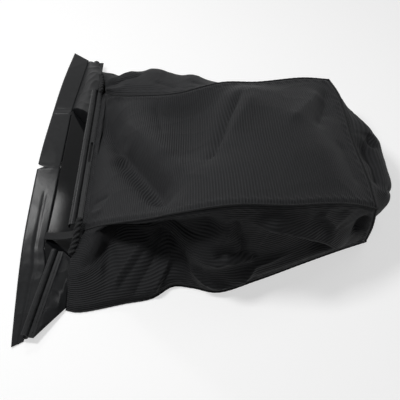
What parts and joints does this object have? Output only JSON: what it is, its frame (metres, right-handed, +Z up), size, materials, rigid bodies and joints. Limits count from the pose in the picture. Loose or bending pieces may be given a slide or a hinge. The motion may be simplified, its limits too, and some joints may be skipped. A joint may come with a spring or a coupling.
{
  "type": "mower grass collection bag",
  "caption": "Soft black grass collection bag for a walk-behind mower, without its wire frame, slumped on its vinyl floor with the mouth bindings folded out.",
  "frame": {"origin": "underside of the vinyl floor panel, midway across the mouth and near the middle of the bag's length", "axes": "+Z up from the ground, +X from the mouth to the rear end, +Y across the mouth from the near side to the far side"},
  "size_m": [0.6472, 0.7861, 0.2156],
  "materials": {
    "ribbed_fabric": "black ribbed polyester, matte with a faint sheen",
    "glossy_vinyl": "glossy black coated sheet",
    "extruded_plastic": "satin dark extrusion",
    "webbing": "black woven tape and corded trim"
  },
  "bodies": {
    "root": {"top_panel": "ribbed_fabric", "near_side_panel": "ribbed_fabric", "far_side_panel": "ribbed_fabric", "rear_panel": "ribbed_fabric", "top_header": "ribbed_fabric", "floor_panel": "glossy_vinyl", "mouth_lip": "glossy_vinyl", "near_cheek": "glossy_vinyl", "far_cheek": "glossy_vinyl", "top_binding": "extruded_plastic", "near_binding": "extruded_plastic", "far_binding": "extruded_plastic", "near_gathered_hem": "webbing", "far_gathered_hem": "webbing", "near_corner_strap": "webbing", "near_top_welt": "webbing", "far_top_welt": "webbing", "rear_top_welt": "webbing", "near_floor_welt": "webbing", "far_floor_welt": "webbing", "rear_floor_welt": "webbing", "near_corner_welt": "webbing", "far_corner_welt": "webbing"}
  },
  "joints": []
}
